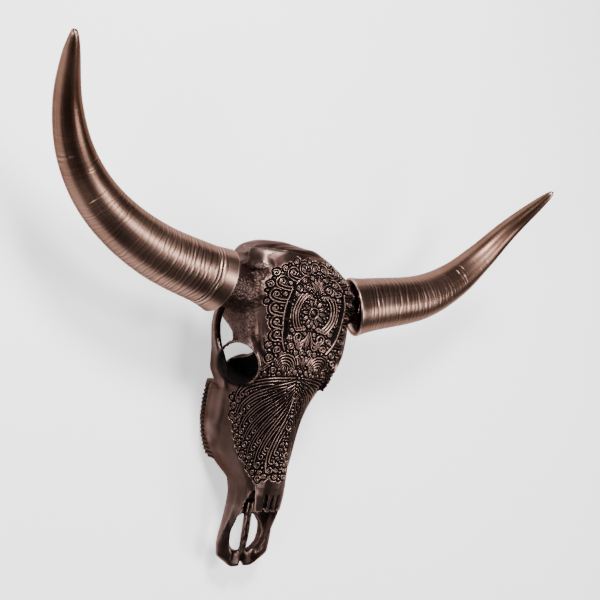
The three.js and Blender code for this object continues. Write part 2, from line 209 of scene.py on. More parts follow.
copies = [bone_copy(name) for name in BONES]
bpy.ops.object.select_all(action="DESELECT")
for copy in copies:
    copy.select_set(True)
skull = copies[-1]
bpy.context.view_layer.objects.active = skull
bpy.ops.object.join()
skull.name = "skull"
skull.data.materials.clear()
skull.data.remesh_voxel_size = VOXEL
skull.data.remesh_voxel_adaptivity = 0
pick(skull)
bpy.ops.object.voxel_remesh()
print("skin of", len(skull.data.polygons), "faces")

# %% [markdown]
# ## Smooth where the bone is broad, sharp where it is thin
# One strength of smoothing can't suit both. The dome of the head needs a lot to lose its facets,
# and the eye's rim, the nose's plates, rods and prongs would melt away. A vertex group holds how
# much each place may be smoothed.
#
# Places on the skull are given in millimetres of its own drawing: x outwards from the midline, y
# from the nose (negative) to the poll, z up. The drawing's zero lies behind the cheek teeth.

# %% Smoothing
DRAWING_ZERO = np.array((0.0, -61.1, 0.0))


def drawn(obj):
    """The points in millimetres of the drawing."""
    return points(obj) * 1000 - DRAWING_ZERO


def from_place(co, place):
    """How far each point is from a place of the drawing or its mirror image."""
    return np.linalg.norm(np.stack((np.abs(co[:, 0]), co[:, 1], co[:, 2]), 1) - place, axis=1)


EYE = (87.5, 45, 121)
BROAD_ROUNDS, ALL_ROUNDS = 70, 7
co = drawn(skull)
side = np.abs(co[:, 0])
snout = 1 - smooth_step(-104, -64, co[:, 1])
teeth = 0.9 * smooth_step(18, 8, co[:, 2])
cheek = 0.8 * smooth_step(68, 74, side) * smooth_step(94, 88, co[:, 2]) * smooth_step(-2, 8, co[:, 1])
rim = 0.93 * smooth_step(48, 40, from_place(co, EYE))
weigh(skull, "broad", 1 - np.maximum.reduce((snout, teeth, cheek, rim)))
modify(skull, "SMOOTH", factor=0.5, iterations=BROAD_ROUNDS, vertex_group="broad")
modify(skull, "SMOOTH", factor=0.5, iterations=ALL_ROUNDS)
pick(skull)
bpy.ops.object.shade_smooth()
move_points(skull, points(skull))
print("the smoothed skin is", np.round(np.ptp(drawn(skull), axis=0)), "mm in size")


# %% [markdown]
# ## Smooth lines
# Strokes, carved strands and the horns all follow smooth lines through a few places.

# %% Bend


def between(t, a, b, c, d):
    """Places at shares t of the way from b to c, on a curve that also knows a and d."""
    bowed, twisted = 2 * a - 5 * b + 4 * c - d, 3 * b - a - 3 * c + d
    return 0.5 * (2 * b + (c - a) * t + bowed * t ** 2 + twisted * t ** 3)


def bend(places, per=8):
    """A smooth line through places (a Catmull-Rom curve)."""
    p = np.array([places[0], *places, places[-1]], float)
    t = np.linspace(0, 1, per, endpoint=False)[:, None]
    spans = [between(t, *four) for four in zip(p, p[1:], p[2:], p[3:])]
    return np.concatenate((*spans, p[-1:]))


print("a line bent through 3 places has", len(bend([(0, 0), (1, 0), (1, 1)])), "points")


# %% [markdown]
# ## Bumps and creases of a real skull
# The remeshed skin lacks what a face of bone has: the swelling that the chewing muscle pulls on, the
# edge of the temple, the notch where tears ran, the knob and pit of the poll. In sculpt mode these
# are a few strokes. Here a stroke is a place or a line of the drawing, a reach and a height, and it
# pushes the skin along its normals. The poll is uneven, so its strokes are on the right side only.
# At last the fold beside the right horn and the tips of the nose are smoothed until they are round.

# %% Strokes


def stroke(co, places, reach, height, sides=(-1, 1)):
    """How far each point is pushed, in millimetres, by a line of places; x counts outwards."""
    line = bend(places, 12) if len(places) > 1 else np.array(places, float)
    push = np.zeros(len(co))
    for side in sides:
        mirrored = line * (side, 1, 1)
        low, high = mirrored.min(0) - reach, mirrored.max(0) + reach
        near = np.flatnonzero(((co > low) & (co < high)).all(1))
        away = np.full(len(near), np.inf)
        for place in mirrored:
            away = np.minimum(away, np.linalg.norm(co[near] - place, axis=1))
        push[near] = np.maximum(push[near], (1 - np.clip(away / reach, 0, 1) ** 2) ** 2)
    return push * height


print("a stroke of 1 mm moves its own place by", stroke(np.zeros((1, 3)), [(0, 0, 0)], 5, 1.0)[0], "mm")


# %% Sculpt
FOLD = (-92, 190, 140)
FOLD_ROUNDS, TIP_ROUNDS = 40, 26
STROKES = [
    ([(76, -60, 38)], 24, 3.0),
    ([(81, -80, 35)], 15, 2.4),
    ([(72, -44, 52), (76, -20, 62), (80, 2, 70)], 12, 1.2),
    ([(88, 163, 160), (87, 137, 161), (82, 109, 160), (73, 81, 158), (62, 55, 154)], 7, 1.8),
    ([(97, 160, 152), (96, 135, 150), (91, 109, 148), (82, 82, 146)], 8, -1.4),
    ([(67, 21.5, 125)], 5.5, -4.0),
    ([(63, 25, 129)], 4.5, 1.8),
    ([(60, 14, 121), (56, 8, 117)], 5, -1.2),
]
POLL_STROKES = [
    ([(110, 184, 112), (104, 187, 123), (97, 187, 133), (89, 186, 143), (81, 187, 152)], 17, 9.0),
    ([(102, 203, 137)], 4, -3.5),
    ([(100, 211, 134)], 6, 1.2),
    ([(104, 216, 127)], 5, 1.0),
    ([(97, 218, 138)], 4, -1.0),
    ([(103, 190, 125), (91, 194, 146), (84, 201, 155), (68, 209, 160),
      (48, 216, 161), (25, 220, 158), (0, 222, 152)], 5, 1.0),
    ([(98, 184, 130), (86, 188, 150), (72, 200, 160),
      (48, 207, 165), (22, 211, 165), (0, 213, 163)], 9, -0.8),
    ([(95, 208, 142), (80, 214, 152), (60, 224, 155), (30, 229, 150)], 6, -1.0),
]
print(len(STROKES), "strokes on both sides and", len(POLL_STROKES), "on the poll")

# %% Press the strokes in
co, facing = drawn(skull), normals(skull)
push = sum(stroke(co, *entry) for entry in STROKES)
push += sum(stroke(co, *entry, sides=(-1,)) for entry in POLL_STROKES)
move_points(skull, points(skull) + facing * push[:, None] / 1000)
co = drawn(skull)
fold = np.linalg.norm(co - FOLD, axis=1)
weigh(skull, "fold", smooth_step(42, 18, fold) * smooth_step(-108, -100, co[:, 0]))
modify(skull, "SMOOTH", factor=0.5, iterations=FOLD_ROUNDS, vertex_group="fold")
weigh(skull, "tips", smooth_step(-224, -240, drawn(skull)[:, 1]))
modify(skull, "SMOOTH", factor=0.5, iterations=TIP_ROUNDS, vertex_group="tips")
print("strokes move the skin by", np.round([push.min(), push.max()], 1), "mm")

# %% [markdown]
# ## What lies deep and what stands proud
# A patina gets rubbed off on ridges, and broad hollows are darkened as painted shade. To know which is
# which, each point is compared with the average of a wide patch around it: above the average it is a
# ridge, below it a hollow. The insides of the eye sockets and of the nose are marked as well, to be
# painted black as the shade that fills them. The results are stored on the points for the finishes to
# read.

# %% Hollows and ridges


def proud(obj, rounds, scale):
    """How far points stand out of their surroundings, as shares of a length in millimetres."""
    co, facing = points(obj) * 1000, normals(obj)
    around = np.stack([average(obj, co[:, axis], rounds) for axis in range(3)], 1)
    return np.clip(np.einsum("ij,ij->i", co - around, facing) / scale, -1, 1)


SOCKET = (80, 45, 112)
keep(skull, "form", proud(skull, 60, 2.5))
co = drawn(skull)
side = np.abs(co[:, 0])
socket = smooth_step(41, 34, from_place(co, SOCKET))
socket *= smooth_step(134, 124, co[:, 2] - 0.35 * (side - 80))
nostril = smooth_step(30, 24, side) * smooth_step(-176, -164, co[:, 1]) * smooth_step(-84, -96, co[:, 1])
nostril *= smooth_step(96, 86, co[:, 2]) * smooth_step(48, 56, co[:, 2])
# The sockets and nostrils are marked for painted shade: the coat turns black there, where shade falls
# inside them.
deep = np.maximum(socket, nostril)
keep(skull, "deep", deep)
print("deep places hold", int((deep > 0.5).sum()), "points of", len(deep))

# %% [markdown]
# ## A chart for the carver
# The carving wraps round the forehead and the nose, so it can't be drawn on a flat side view. A
# carver would lay paper round the bone. Here the paper is a chart: its first axis is the angle
# round a line inside the head, turned into millimetres, and its second runs along the skull. Heights
# on the chart are 0 at the untouched bone and -1 at the carved ground. Every motif is a line that is
# stamped into the chart as a row of small domes, on both sides of the midline at once.

# %% Chart
CELL = 0.3
ACROSS, BOTTOM, TOP = 122, -134, 212
PITCH = 4.5
RADIUS, AXIS_HEIGHT, AXIS_RISE = 90, 59, 0.19


class Chart:
    def __init__(self):
        self.s = np.arange(-ACROSS, ACROSS + CELL, CELL)
        self.y = np.arange(BOTTOM, TOP + CELL, CELL)
        self.crest, self.ground, self.cut, self.taken = np.zeros((4, len(self.y), len(self.s)), np.float32)
        self.lines = 0

    def stamp(self, layer, line, half, top=1.0):
        """Domes of a half width and a top along a line and its mirror image."""
        line = np.atleast_2d(np.asarray(line, float))
        length = np.concatenate(([0], np.cumsum(np.hypot(*np.diff(line, axis=0).T))))
        along = np.linspace(0, length[-1], int(length[-1] / (1.5 * CELL)) + 1)
        widths = np.interp(along, np.linspace(0, length[-1], np.size(half)), np.ravel(half))
        places = np.interp(along, length, line[:, 0]), np.interp(along, length, line[:, 1])
        for x, v, w in zip(*places, widths):
            for mirrored in {x, -x}:
                i = slice(int((mirrored - w + ACROSS) / CELL) + 1, int((mirrored + w + ACROSS) / CELL) + 1)
                j = slice(int((v - w - BOTTOM) / CELL) + 1, int((v + w - BOTTOM) / CELL) + 1)
                away = ((self.s[i] - mirrored) ** 2)[None, :] + ((self.y[j] - v) ** 2)[:, None]
                dome = top * np.sqrt(np.clip(1 - away / (w * w), 0, 1))
                np.maximum(layer[j, i], dome, out=layer[j, i])

    def ridge(self, line, half=1.5, top=1.0, clear=2.2):
        """A rounded strand with sunk ground on both sides."""
        self.lines += 1
        self.stamp(self.crest, line, half, top)
        self.stamp(self.ground, line, np.asarray(half) + clear)
        self.stamp(self.taken, line, np.asarray(half) + 0.9)

    def groove(self, line, half=0.8, depth=0.6):
        self.stamp(self.cut, line, half, depth)

    def heights(self):
        sunk = np.clip(self.ground * 2.2, 0, 1)
        return -sunk * (1 - self.crest) - self.cut

    def at(self, grid, s, y):
        """The grid's value at places of the chart, 0 beyond its edges."""
        i = np.clip((s + ACROSS) / CELL, 0, len(self.s) - 1.001)
        j = np.clip((y - BOTTOM) / CELL, 0, len(self.y) - 1.001)
        i0, j0 = i.astype(int), j.astype(int)
        u, v = i - i0, j - j0
        lower = grid[j0, i0] * (1 - u) + grid[j0, i0 + 1] * u
        upper = grid[j0 + 1, i0] * (1 - u) + grid[j0 + 1, i0 + 1] * u
        on = (np.abs(s) < ACROSS) & (y > BOTTOM) & (y < TOP)
        return np.where(on, lower * (1 - v) + upper * v, 0)


def chart_places(co, facing):
    """Where points of the drawing lie on the chart, and whether they are on the outside of the head."""
    up = co[:, 2] - AXIS_HEIGHT - AXIS_RISE * co[:, 1]
    outward = facing[:, 0] * co[:, 0] + facing[:, 2] * up > 0
    outside = outward & (np.hypot(co[:, 0], up) > RADIUS / 2)
    return RADIUS * np.arctan2(co[:, 0], up), co[:, 1], outside


chart = Chart()
print("the chart has", chart.crest.shape, "cells of", CELL, "mm")

# %% [markdown]
# ## Lines a carver knows
# Scrollwork needs few kinds of line: a smooth bend through points, a sweep that leaves and arrives
# in given directions, a curl that winds inward, and a line that runs beside another. A plume is a
# bundle of such lines side by side, each ending in a curl, and a leaf is a thick line with a vein.

# %% Lines


def sweep_line(start, leave, end, arrive, count=60):
    """A cubic from start to end whose tangents there are leave and arrive."""
    t = np.linspace(0, 1, count)[:, None]
    a, u, b, v = (np.array(x, float) for x in (start, leave, end, arrive))
    return ((2 * t ** 3 - 3 * t ** 2 + 1) * a + (t ** 3 - 2 * t ** 2 + t) * u
            + (3 * t ** 2 - 2 * t ** 3) * b + (t ** 3 - t ** 2) * v)


def curl(line, radius, turn=1, turns=1.1, tighten=0.66):
    """The line with a spiral at its end, which winds inward to the left (1) or right (-1)."""
    end = line[-1]
    heading = (end - line[-3]) / np.hypot(*(end - line[-3]))
    centre = end + radius * turn * np.array((-heading[1], heading[0]))
    start = math.atan2(*(end - centre)[::-1])
    angle = np.linspace(0, 2 * math.pi * turns, int(24 * turns) + 2)[1:]
    shrink = radius * (1 - tighten * angle / angle[-1])[:, None]
    around = np.stack((np.cos(start + turn * angle), np.sin(start + turn * angle)), 1)
    return np.concatenate((line, centre + shrink * around))


def beside(line, away):
    """The line moved sideways, to the left of its heading."""
    heading = np.gradient(line, axis=0)
    heading /= np.hypot(*heading.T)[:, None]
    return line + np.asarray(away)[..., None] * np.stack((-heading[:, 1], heading[:, 0]), 1)


def ray(angle, length=1.0):
    """A step of a length in a direction in degrees, where 90 points to the poll."""
    return length * np.array((math.cos(math.radians(angle)), math.sin(math.radians(angle))))


def leaf(root, tip, wide, bow=0.0):
    """A thick line with a vein, bowed to one side by a share of its length."""
    root, tip = np.array(root, float), np.array(tip, float)
    along = tip - root
    line = bend([root, root + 0.5 * along + bow * np.array((-along[1], along[0])), tip], 12)
    chart.ridge(line, wide * np.array((0.2, 0.8, 1, 0.9, 0.55, 0.1)), 0.95, 1.5)
    chart.groove(line[2:-3], (0.9, 0.7, 0.5), 0.5)


STRAND = 1.45 * np.array((0.55, 0.9, 1, 1, 1, 0.95, 0.75))
STAGGER = 0.13


def plume(main, radius, lanes, room, turn):
    """Strands side by side to the left (turn 1) or right (-1) of a line; room is the free width."""
    for lane in range(lanes):
        stop = int(len(main) * (1 - STAGGER * lane))
        free = room > (lane + 0.7) * PITCH
        begin = 0 if lane == 0 else int(np.argmax(free)) if free.any() else len(main)
        if stop - begin > 8:
            strand = beside(main, np.full(len(main), turn * lane * PITCH))[begin:stop]
            turns = 1.25 if lane == 0 else 0.95
            chart.ridge(curl(strand, radius * (1 - 0.12 * lane), turn, turns), STRAND)


print("a curl adds", len(curl(bend([(0, 0), (9, 0)]), 5)) - len(bend([(0, 0), (9, 0)])), "points")


# %% [markdown]
# ## The nose
# Seven plumes leave a row of beads on the nose, fan out over its side, bend down and curl back in.
# Each one is as wide as the gap to its inner neighbour, so that the strands stay evenly spaced.

# %% Nose
NOSE_ENDS = [(23, -112), (43, -106), (61, -93), (76, -76), (88, -56), (98, -33), (103, -8)]
inner = None
for k, end in enumerate(NOSE_ENDS):
    start = np.array((2.6 + 0.6 * k, 3 + 4.6 * k))
    size = np.hypot(*(np.array(end) - start))
    main = sweep_line(start, ray(14 * k - 88, 1.0 * size), end, ray(4 * k - 104, 0.9 * size))
    room = main[:, 0] - 1.5
    if inner is not None:
        room = np.min(np.hypot(*(main[:, None, :] - inner[None, :, :]).transpose(2, 0, 1)), axis=1)
    plume(main, 5.4, 4, room, -1)
    inner = main
for k in range(12):
    chart.ridge([(0, 30 - 10.5 * k)], 2.2 - 0.06 * k)
print("the nose takes", chart.lines, "lines on each half")

# %% [markdown]
# ## The brow
# A crescent of four fine lines arches over each eye, with one leaf under it and one at its outer
# end. Between the two are a bead and a few leaves that point to the poll.

# %% Brow
CRESCENT = {"middle": (31, 42), "lines": 4, "inner": 9}
share = np.linspace(0, 1, 40)
for k in range(CRESCENT["lines"]):
    angle = np.radians(190 - 180 * share)
    reach = CRESCENT["inner"] + (1.4 + 2.9 * np.sin(np.pi * share) ** 0.6) * k
    line = np.array(CRESCENT["middle"]) + np.stack((reach * np.cos(angle), reach * np.sin(angle)), 1)
    chart.ridge(line, (0.6, 1.35, 1.35, 1.35, 0.6), 0.95, 1.2)
chart.ridge([(0, 39)], 3.6)
leaf((56, 46), (68, 36), 3.4, -0.1)
leaf((31, 46), (31, 34), 3.6)
leaf((0, 46), (0, 62), 3.4)
leaf((3, 47), (11, 62), 2.6, 0.12)
print("with the brow there are", chart.lines, "lines")

# %% [markdown]
# ## The forehead's edge
# A spine runs down each half of the forehead. Scrolls leave it for the edge and end in lobes, each
# with a second strand round it, and three deep pockets lie along the spine's inner side.

# %% Forehead's edge
spine = bend([(6, 192), (26, 184), (42, 170), (51, 150), (54, 128), (52, 106), (46, 84), (38, 70)], 10)
EDGE_ENDS = [(13, 193), (36, 190), (55, 180), (68, 164), (72, 144), (68, 124), (61, 105), (54, 87)]
EDGE_MIDDLE = (0, 120)
LOBE = 4.8
for k, end in enumerate(EDGE_ENDS):
    i = int((0.05 + 0.125 * k) * (len(spine) - 1))
    ahead = spine[min(i + 3, len(spine) - 1)] - spine[max(i - 3, 0)]
    out = np.array(end) - EDGE_MIDDLE
    start, leave, arrive = spine[max(i - 6, 0)], 16 * ahead / np.hypot(*ahead), 14 * out / np.hypot(*out)
    main = sweep_line(start, leave, end, arrive, 50)
    chart.ridge(curl(main, LOBE, 1, 1.3), STRAND)
    rim = beside(main, np.full(len(main), -PITCH))
    chart.ridge(curl(rim[12:], LOBE + PITCH, 1, 0.55, 0.1), STRAND)
chart.ridge(spine)
POCKETS = [((45.5, 166), (47.5, 144)), ((48, 136), (47.5, 118)), ((46.5, 110), (42, 90))]
for pocket in POCKETS:
    chart.stamp(chart.ground, pocket, 4.2)
    chart.stamp(chart.taken, pocket, 2.6)
    chart.groove(pocket, (1.6, 2.4, 1.6), 1.1)
print("with the forehead's edge there are", chart.lines, "lines")

# %% [markdown]
# ## The middle of the forehead
# A rosette with petals and beads between nested arcs, a palmette above it, and a leaf with scrolls
# below it.

# %% Rosette
ROSETTE = np.array((0, 128.0))
chart.ridge([ROSETTE], 4.6)
half_turn = np.radians(np.linspace(-90, 90, 40))
chart.ridge(ROSETTE + 8.2 * np.stack((np.cos(half_turn), np.sin(half_turn)), 1), 1.1, 0.9, 1.2)
for k in range(7):
    leaf(ROSETTE + ray(30 * k - 90, 10.5), ROSETTE + ray(30 * k - 90, 21.5), 2.9)
for k in range(12):
    chart.ridge([ROSETTE + ray(15 * k - 82.5, 25.5)], 1.5)
for reach, low, high in ((30, -58, 62), (34.6, -50, 52), (39.2, -44, 40)):
    arc = np.array([ROSETTE + ray(angle, reach) for angle in np.linspace(low, high, 40)])
    chart.ridge(curl(curl(arc, 3.4, 1, 0.9)[::-1], 3.4, -1, 0.9), 1.4)
for angle, length, bow in ((90, 25, 0), (64, 24, 0.08), (40, 21, 0.08), (18, 15, 0.08)):
    leaf((0, 158) + ray(angle, 4), (0, 160) + ray(angle, length), 3.0, bow)
leaf((0, 98), (0, 70), 3.6)
for k, radius in enumerate((7.5, 4.6, 3.2)):
    stem = sweep_line((2 + 1.4 * k, 98 - 3 * k), (6, -30), (24 - 3 * k, 84 - 4.5 * k), (26, 16))
    chart.ridge(curl(stem, radius, 1, 1.25))
print("with the middle there are", chart.lines, "lines")

# %% [markdown]
# ## Nothing left bare
# The real carver left hardly a flat spot. Whatever is free inside the edge of the carving gets a
# small scroll of the largest size that still fits, and the last gaps get beads.

# %% Fillers
EDGE = [(0, 205), (34, 203), (54, 198), (70, 190), (80, 180), (84.5, 166), (84, 148), (82, 136),
        (78, 122), (72, 108), (67, 90), (62, 75), (57, 62), (55, 48), (60, 31), (72, 18), (92, 7),
        (108, -3), (113, -15), (108, -32), (100, -50), (89, -72), (77, -88), (64, -100), (52, -111),
        (40, -120), (30, -127), (21, -121), (10, -117), (3, -123), (0, -125)]
FILLER_SIZES = (6.5, 5.2, 4.2, 3.4, 2.4)


def free_places(step):
    """Places of one half of the chart inside the edge, on a grid."""
    edge = bend(EDGE, 6)
    loop = np.concatenate((edge, [(-1, edge[-1, 1]), (-1, edge[0, 1])]))
    ss, yy = np.meshgrid(np.arange(0, ACROSS, step), np.arange(BOTTOM, TOP, step))
    inside = np.zeros(ss.shape, bool)
    for (x0, y0), (x1, y1) in zip(loop, np.roll(loop, -1, 0)):
        if y0 != y1:
            inside ^= ((yy >= y0) != (yy >= y1)) & (ss < x0 + (yy - y0) * (x1 - x0) / (y1 - y0))
    return list(zip(ss[inside], yy[inside]))


def is_free(x, v, size):
    """Whether a disc of the chart is clear of every line so far."""
    reach = int(size / CELL)
    i, j = int((x + ACROSS) / CELL), int((v - BOTTOM) / CELL)
    near = (np.arange(-reach, reach + 1) * CELL) ** 2
    disc = near[:, None] + near[None, :] <= size * size
    around = chart.taken[max(j - reach, 0):j + reach + 1, i - reach:i + reach + 1]
    return around.shape == disc.shape and not around[disc].any()


def filler(x, v, size):
    """A bead, or a small scroll that turns with the flow of its surroundings."""
    if size < 3 or x == 0:
        chart.ridge([(x, v)], min(size - 0.4, 2.4))
        return
    flow = math.degrees(math.atan2(v - 60, x + 20)) + 50 * math.sin(0.13 * v + 0.21 * x)
    radius = size - 1.2
    start = np.array((x, v)) + ray(flow, radius)
    tail = np.array([start - ray(flow + 90 - 14 * k, 0.9 * k) for k in range(5, -1, -1)])
    chart.ridge(curl(tail, radius, 1, 1.3, 0.75), (0.5, 1, 1.35, 1.35, 1.35, 1.2))


places = free_places(1.2)
for size in FILLER_SIZES:
    for x, v in places:
        if (x == 0 or x > size + 0.3) and is_free(x, v, size):
            filler(x, v, size)
print("the chart holds", chart.lines, "lines on each half")


# %% [markdown]
# ## Carve the bone
# The skin's squares are about as wide as a strand, far too coarse. Only where the chart, the peened
# temples, the cheek teeth or the nasal tips have something to say are they divided, three by three,
# and then every point there is pushed in along its normal by the relief's height. The photographed
# carving reaches further round the left side than the right, so the chart is laid on wider there.

# %% Carve
CARVE_DEPTH = 2.8
CUTS = 2
CORE_ROOTS = 104
heights = chart.heights()


def laid(co, facing):
    """Chart places, spread to where the photographed carving ends on each side."""
    s, y, outside = chart_places(co, facing)
    narrow = 1.04 + 0.1 * smooth_step(60, 110, y)
    wide = 1.0 - 0.1 * smooth_step(50, 100, y)
    return s * np.where(s < 0, narrow, wide), y, outside & (np.abs(co[:, 0]) < CORE_ROOTS)


def peened(co, facing):
    """Where the temples are peened: round the horn cores, outside of the carving's edge."""
    s, y = laid(co, facing)[:2]
    out = smooth_step(84, 96, np.abs(s)) * smooth_step(46, 66, y) * smooth_step(200, 180, y)
    return out * smooth_step(84, 96, co[:, 2]) * smooth_step(158, 140, np.abs(co[:, 0]))


print("the lowest place of the chart is", round(float(heights.min()), 2), "carving depths")


# %% Teeth, nose tips and division
TOOTH_PITCH = 6.6
NASAL_SLITS = (-12, -2, 8)


def toothed(co):
    """Grooves between the ridges of the cheek teeth, as negative shares of the carving depth."""
    side, y, z = np.abs(co[:, 0]), co[:, 1], co[:, 2]
    gum = 22 + 13 * smooth_step(-66, -104, y)
    row = smooth_step(gum, gum - 5, z) * smooth_step(38, 44, side)
    row *= smooth_step(-112, -104, y) * smooth_step(6, 0, y)
    return -0.62 * row * (0.5 + 0.5 * np.cos(2 * math.pi * y / TOOTH_PITCH)) ** 2


def slit(co):
    """The slits that part the tips of the nasal bones, as negative multiples of the carving depth."""
    lines = [[(x, -150, 117), (x, -158, 116), (x, -170, 113)] for x in NASAL_SLITS]
    return -1.6 * np.sqrt(sum(stroke(co, line, 3.4, 1.0, sides=(1,)) for line in lines))


def divide(obj, wanted, cuts):
    """Divides the faces that hold a wanted point."""
    pick(obj)
    bpy.context.tool_settings.mesh_select_mode = (False, False, True)
    bpy.ops.object.mode_set(mode="EDIT")
    bpy.ops.mesh.select_all(action="DESELECT")
    bpy.ops.object.mode_set(mode="OBJECT")
    corners = np.zeros(len(obj.data.loops), np.int32)
    starts = np.zeros(len(obj.data.polygons), np.int32)
    obj.data.loops.foreach_get("vertex_index", corners)
    obj.data.polygons.foreach_get("loop_start", starts)
    obj.data.polygons.foreach_set("select", np.logical_or.reduceat(wanted[corners], starts))
    bpy.ops.object.mode_set(mode="EDIT")
    bpy.ops.mesh.subdivide(number_cuts=cuts, quadcorner="INNERVERT")
    bpy.ops.object.mode_set(mode="OBJECT")


co, facing = drawn(skull), normals(skull)
s, y, outside = laid(co, facing)
wanted = (outside & (chart.at(chart.ground, s, y) > 0)) | (peened(co, facing) > 0)
wanted |= (toothed(co) < 0) | (slit(co) < 0)
divide(skull, wanted, CUTS)
print("the skin now has", len(skull.data.polygons), "faces")

# %% Press the relief in
co, facing = drawn(skull), normals(skull)
s, y, outside = laid(co, facing)
relief = np.where(outside, chart.at(heights, s, y), 0)
relief = np.minimum(relief, np.minimum(toothed(co), slit(co)))
keep(skull, "relief", relief)
move_points(skull, points(skull) + facing * relief[:, None] * CARVE_DEPTH / 1000)
print("the deepest cut is", round(-relief.min() * CARVE_DEPTH, 1), "mm")

# %% [markdown]
# ## Peen the temples
# Round the horns the bone is struck with a small round punch. A cell pattern on the skin gives the
# dents, and a finer one the grain between them.

# %% Peening
PUNCHES = (("dents", 0.0042, 0.0016), ("grain", 0.0017, 0.0006))
mask = peened(co, facing)
keep(skull, "peened", mask)
weigh(skull, "punch", mask)
for name, size, strength in PUNCHES:
    pattern = bpy.data.textures.new(name, "VORONOI")
    pattern.noise_scale = size
    modify(skull, "DISPLACE", texture=pattern, texture_coords="LOCAL", strength=strength, mid_level=0.5,
           vertex_group="punch")
move_points(skull, points(skull))
keep(skull, "wear", proud(skull, 4, 0.35))
print("peened points:", int((mask > 0).sum()))


# %% [markdown]
# ## Part the skin into bones
# The finished skin is cut into the same bones as the frame, so that each can be taken on its own.
# The frame cut them with boxes, and the same boxes are used here, each on what the cuts before it
# left over. The exact boolean solver takes minutes on so many faces; the manifold one takes seconds,
# and cutting the nose from the head first keeps the later cuts small. New points on a cut get their
# notes from the nearest point of the whole skin, so that no seam shows in the finish.

# %% Regions
FAR = 400
ALL = (-FAR, FAR)
NOSE_END = 34
NOSE = (ALL, (-FAR, NOSE_END), ALL)
HALF = ((0, FAR), ALL, ALL)
NOSE_REGIONS = {
    "nasal": ((0, 26), (-FAR, NOSE_END), (104, FAR)),
    "premaxilla": ((0, FAR), (-FAR, -168), ALL),
}
ORBIT = ((64, FAR), (4, 87.7), (44, 158))
HEAD_REGIONS = {
    "horn_core": ((109, FAR), (100, FAR), (84, FAR)),
    "frontal": ((0, FAR), (0, 214), (138, FAR)),
    "jugular_process": ((34, 80), (140, 190), (-FAR, 34)),
    "zygomatic_arch": ((74, FAR), (88, 170), (40, 90)),
}
OCCIPUT = (ALL, (184, FAR), ALL)
REGIONS = [NOSE, HALF, ORBIT, OCCIPUT, *NOSE_REGIONS.values(), *HEAD_REGIONS.values()]
print(len(REGIONS), "regions part the skin")

# %% Notes of the whole skin
SKIN_POINTS = points(skull)
SKIN_NOTES = {name: kept(skull, name) for name in ("form", "deep", "relief", "peened", "wear")}
skin_tree = KDTree(len(SKIN_POINTS))
for index, place in enumerate(SKIN_POINTS):
    skin_tree.insert(place, index)
skin_tree.balance()
skull.vertex_groups.clear()
print("notes kept for", len(SKIN_POINTS), "points")

# %% Cutting tools


def region_box(side, region):
    """A box around a region of the drawing on one side of the skull."""
    ends = np.array(region, float).T * (side, 1, 1)
    low, high = ((ends.min(0), ends.max(0)) + DRAWING_ZERO) / 1000
    bpy.ops.object.select_all(action="DESELECT")
    bpy.ops.mesh.primitive_cube_add(size=1, location=(low + high) / 2, scale=high - low)
    box = bpy.context.object
    bpy.ops.object.transform_apply(location=True, rotation=False, scale=True)
    return box


def part_off(whole, name, side, region):
    """Cuts one region off a whole and returns it as a new piece."""
    box = region_box(side, region)
    piece = whole.copy()
    piece.data = whole.data.copy()
    bpy.context.collection.objects.link(piece)
    piece.name = f"bone_{name}"
    for obj, operation in ((piece, "INTERSECT"), (whole, "DIFFERENCE")):
        modify(obj, "BOOLEAN", object=box, operation=operation, solver="MANIFOLD")
    bpy.data.objects.remove(box)
    bones[name] = piece
    return piece


# %% Part
bones = {}
for side_name, side in SIDES:
    part_off(skull, f"orbit_{side_name}", side, ORBIT)
nose = part_off(skull, "maxilla_left", 1, NOSE)
nose_halves = {"left": nose, "right": part_off(nose, "maxilla_right", -1, HALF)}
for side_name, side in SIDES:
    for name, region in NOSE_REGIONS.items():
        part_off(nose_halves[side_name], f"{name}_{side_name}", side, region)
for name, region in HEAD_REGIONS.items():
    for side_name, side in SIDES:
        part_off(skull, f"{name}_{side_name}", side, region)
part_off(skull, "occiput", 1, OCCIPUT)
bones["braincase"] = skull
skull.name = "bone_braincase"
print("the skin is now", len(bones), "bones")

# %% Mend the cuts
CUTS_ACROSS = [sorted({edge for region in REGIONS for edge in region[axis] if abs(edge) != FAR})
               for axis in range(3)]


def mend_notes(bone):
    """Points on a cut plane take their notes from the nearest point of the skin."""
    co = points(bone)
    here = drawn(bone)
    here[:, 0] = np.abs(here[:, 0])
    on_cut = [(np.abs(here[:, axis, None] - CUTS_ACROSS[axis]) < 0.01).any(1) for axis in range(3)]
    mended = np.flatnonzero(np.logical_or.reduce(on_cut))
    found = [skin_tree.find(place)[1] for place in co[mended]]
    for name, values in SKIN_NOTES.items():
        notes = kept(bone, name)
        notes[mended] = values[found]
        keep(bone, name, notes)


for name, bone in bones.items():
    mend_notes(bone)
    pick(bone)
    bpy.ops.object.shade_smooth_by_angle(angle=math.radians(75))
    node = "frontal" if name.startswith("frontal") else name
    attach(bone, "root")
    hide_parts(node)
    "carved_bone" if node == "frontal" or node.startswith("nasal") else "coated_bone"
    bone.data.calc_loop_triangles()
    print(f"{bone.name}: {len(bone.data.loop_triangles)} triangles")


# %% [markdown]
# ## Horn sheaths
# A horn grows from its root, and each lean season leaves a ring, so rings crowd the lower half and
# the tip is smooth. A flat grid is rolled round the horn's line: its rows run from the end of the
# hollow out to the rim, round it and on to the tip. That gives a closed skin with an inner wall, whose
# faces follow the rings, and a map of the surface for the finish. The left mouth is cut at a slant.

